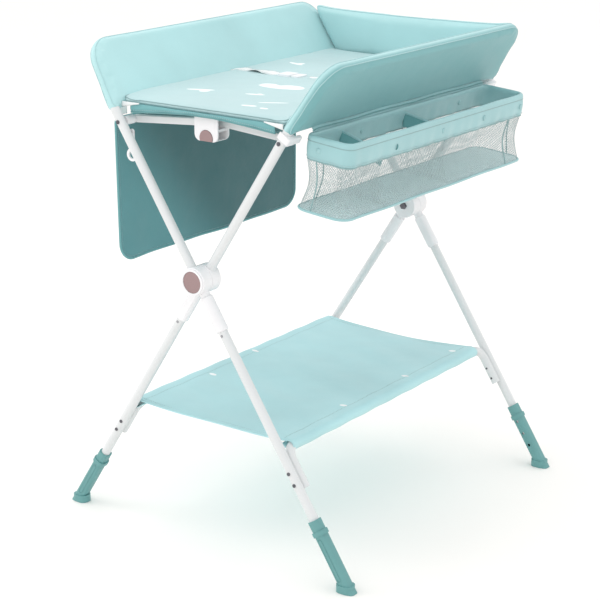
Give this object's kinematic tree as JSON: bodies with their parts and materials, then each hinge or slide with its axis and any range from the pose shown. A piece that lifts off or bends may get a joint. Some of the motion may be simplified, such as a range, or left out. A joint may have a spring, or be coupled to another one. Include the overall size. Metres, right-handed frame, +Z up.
{
  "type": "folding changing table",
  "caption": "Folding changing table: scissor tube frame, padded three-sided tray, side basket, hanging organiser and lower shelf.",
  "frame": {"origin": "on the floor, under the middle of the line through the two hubs", "axes": "X across the scissor with the basket at +X, Y along the table with the open end at -Y, Z up"},
  "size_m": [0.7162, 0.7742, 0.9598],
  "materials": {
    "frame_enamel": "satin white powder coat",
    "white_plastic": "moulded, satin",
    "mauve_plastic": "moulded, satin",
    "teal_plastic": "moulded, fine texture",
    "steel": "zinc plated",
    "mint_leatherette": "soft coated fabric",
    "mat_leatherette": "soft coated fabric",
    "teal_fabric": "woven polyester",
    "band_satin": "satin weave, coated",
    "mesh_fabric": "open knitted mesh",
    "shelf_fabric": "woven polyester",
    "webbing": "woven strap"
  },
  "bodies": {
    "outer_frame": {"outer_frame_tube": "frame_enamel", "hub_shell_outer": "white_plastic", "hub_pivot_bolts": "steel", "hub_caps": "mauve_plastic", "leg_sleeves_outer": "white_plastic", "lower_legs_outer": "frame_enamel", "leg_snap_pins_outer": "steel", "shelf_rail_outer": "frame_enamel", "rail_screws_outer": "steel", "link_pivots_outer": "steel", "link_spacers_outer": "white_plastic", "left_wall": "mint_leatherette", "back_wall": "mint_leatherette", "hook_rivet": "steel", "organiser_hangers": "teal_fabric", "shelf_cloth": "shelf_fabric"},
    "inner_frame": {"inner_frame_tube": "frame_enamel", "hub_shell_inner": "white_plastic", "leg_sleeves_inner": "white_plastic", "lower_legs_inner": "frame_enamel", "leg_snap_pins_inner": "steel", "shelf_rail_inner": "frame_enamel", "rail_screws_inner": "steel", "link_pivots_inner": "steel", "link_spacers_inner": "white_plastic", "right_wall": "mint_leatherette"},
    "deck_left": {"mat_left": "mat_leatherette", "sling_left": "teal_fabric", "strap_left": "webbing", "strap_buckle": "white_plastic"},
    "deck_right": {"mat_right": "mat_leatherette", "sling_right": "teal_fabric", "strap_right": "webbing"},
    "hook": {"storage_hook": "white_plastic"},
    "organiser": {"organiser_panel": "teal_fabric", "organiser_pockets": "teal_fabric"},
    "basket": {"basket_rim_wire": "steel", "basket_band": "band_satin", "basket_mesh": "mesh_fabric", "basket_floor": "band_satin", "basket_dividers": "mesh_fabric", "basket_clips": "white_plastic"},
    "near_left_link": {"near_left_link": "frame_enamel"},
    "near_right_link": {"near_right_link": "frame_enamel"},
    "near_lock": {"near_lock_housing": "white_plastic", "near_lock_pin": "steel"},
    "near_release_button": {"near_release_button": "mauve_plastic"},
    "far_left_link": {"far_left_link": "frame_enamel"},
    "far_right_link": {"far_right_link": "frame_enamel"},
    "far_lock": {"far_lock_housing": "white_plastic", "far_lock_pin": "steel"},
    "far_release_button": {"far_release_button": "mauve_plastic"},
    "foot_near_left": {"foot_near_left": "teal_plastic"},
    "foot_button_near_left": {"foot_button_near_left": "steel"},
    "foot_far_left": {"foot_far_left": "teal_plastic"},
    "foot_button_far_left": {"foot_button_far_left": "steel"},
    "foot_near_right": {"foot_near_right": "teal_plastic"},
    "foot_button_near_right": {"foot_button_near_right": "steel"},
    "foot_far_right": {"foot_far_right": "teal_plastic"},
    "foot_button_far_right": {"foot_button_far_right": "steel"}
  },
  "joints": [
    {"name": "fold", "type": "hinge", "parent": "outer_frame", "child": "inner_frame", "pos_m": [0, 0, 0.535], "axis": [0, -1, 0], "range_deg": [0, 50], "deforming": ["mat_left", "mat_right", "sling_left", "sling_right", "strap_left", "strap_right", "back_wall", "shelf_cloth"]},
    {"name": "deck_left_fold", "type": "hinge", "parent": "outer_frame", "child": "deck_left", "pos_m": [-0.188, 0, 0.843], "axis": [0, 1, 0], "range_deg": [0, 52.66]},
    {"name": "deck_middle_fold", "type": "hinge", "parent": "deck_left", "child": "deck_right", "pos_m": [0, 0, 0.843], "axis": [0, -1, 0], "range_deg": [0, 155.3]},
    {"name": "near_left_link_fold", "type": "hinge", "parent": "outer_frame", "child": "near_left_link", "pos_m": [-0.17863, -0.3286, 0.812], "axis": [0, 1, 0], "range_deg": [0, 55.02]},
    {"name": "near_lock_fold", "type": "hinge", "parent": "near_left_link", "child": "near_lock", "pos_m": [0, -0.3286, 0.82606], "axis": [0, -1, 0], "range_deg": [0, 80.02]},
    {"name": "near_right_link_fold", "type": "hinge", "parent": "inner_frame", "child": "near_right_link", "pos_m": [0.17863, -0.3136, 0.812], "axis": [0, -1, 0], "range_deg": [0, 55.02]},
    {"name": "near_release_press", "type": "slide", "parent": "near_lock", "child": "near_release_button", "axis": [0, 1, 0], "range_m": [0, 0.004], "stiffness_N_per_m": 900, "springref_m": -0.001},
    {"name": "far_left_link_fold", "type": "hinge", "parent": "outer_frame", "child": "far_left_link", "pos_m": [-0.17863, 0.3286, 0.812], "axis": [0, 1, 0], "range_deg": [0, 55.02]},
    {"name": "far_lock_fold", "type": "hinge", "parent": "far_left_link", "child": "far_lock", "pos_m": [0, 0.3286, 0.82606], "axis": [0, -1, 0], "range_deg": [0, 80.02]},
    {"name": "far_right_link_fold", "type": "hinge", "parent": "inner_frame", "child": "far_right_link", "pos_m": [0.17863, 0.3136, 0.812], "axis": [0, -1, 0], "range_deg": [0, 55.02]},
    {"name": "far_release_press", "type": "slide", "parent": "far_lock", "child": "far_release_button", "axis": [0, -1, 0], "range_m": [0, 0.004], "stiffness_N_per_m": 900, "springref_m": -0.001},
    {"name": "foot_slide_near_left", "type": "slide", "parent": "inner_frame", "child": "foot_near_left", "axis": [0.5419, 0, 0.8404], "range_m": [0, 0.056]},
    {"name": "foot_button_press_near_left", "type": "slide", "parent": "inner_frame", "child": "foot_button_near_left", "axis": [0, -1, 0], "range_m": [0, 0.0022], "stiffness_N_per_m": 900, "springref_m": -0.001},
    {"name": "foot_slide_far_left", "type": "slide", "parent": "inner_frame", "child": "foot_far_left", "axis": [0.5419, 0, 0.8404], "range_m": [0, 0.056]},
    {"name": "foot_button_press_far_left", "type": "slide", "parent": "inner_frame", "child": "foot_button_far_left", "axis": [0, 1, 0], "range_m": [0, 0.0022], "stiffness_N_per_m": 900, "springref_m": -0.001},
    {"name": "foot_slide_near_right", "type": "slide", "parent": "outer_frame", "child": "foot_near_right", "axis": [-0.5419, 0, 0.8404], "range_m": [0, 0.056]},
    {"name": "foot_button_press_near_right", "type": "slide", "parent": "outer_frame", "child": "foot_button_near_right", "axis": [0, -1, 0], "range_m": [0, 0.0022], "stiffness_N_per_m": 900, "springref_m": -0.001},
    {"name": "foot_slide_far_right", "type": "slide", "parent": "outer_frame", "child": "foot_far_right", "axis": [-0.5419, 0, 0.8404], "range_m": [0, 0.056]},
    {"name": "foot_button_press_far_right", "type": "slide", "parent": "outer_frame", "child": "foot_button_far_right", "axis": [0, 1, 0], "range_m": [0, 0.0022], "stiffness_N_per_m": 900, "springref_m": -0.001},
    {"name": "hook_swing", "type": "hinge", "parent": "outer_frame", "child": "hook", "pos_m": [-0.16475, -0.3545, 0.79048], "axis": [0, 1, 0], "range_deg": [-60, 60]},
    {"name": "organiser_swing", "type": "hinge", "parent": "outer_frame", "child": "organiser", "pos_m": [-0.2365, 0, 0.8055], "axis": [0, 1, 0], "range_deg": [-20, 35]},
    {"name": "basket_pull_off", "type": "slide", "parent": "inner_frame", "child": "basket", "axis": [0.8404, 0, -0.5419], "range_m": [0, 0.1]}
  ],
  "couplings": [
    {"joint": "deck_left_fold", "follows": "fold", "ratio": 1.0529},
    {"joint": "deck_middle_fold", "follows": "fold", "ratio": 3.1059},
    {"joint": "near_left_link_fold", "follows": "fold", "ratio": 1.1002},
    {"joint": "near_lock_fold", "follows": "fold", "ratio": 1.6002},
    {"joint": "near_right_link_fold", "follows": "fold", "ratio": 1.1002},
    {"joint": "far_left_link_fold", "follows": "fold", "ratio": 1.1002},
    {"joint": "far_lock_fold", "follows": "fold", "ratio": 1.6002},
    {"joint": "far_right_link_fold", "follows": "fold", "ratio": 1.1002}
  ]
}
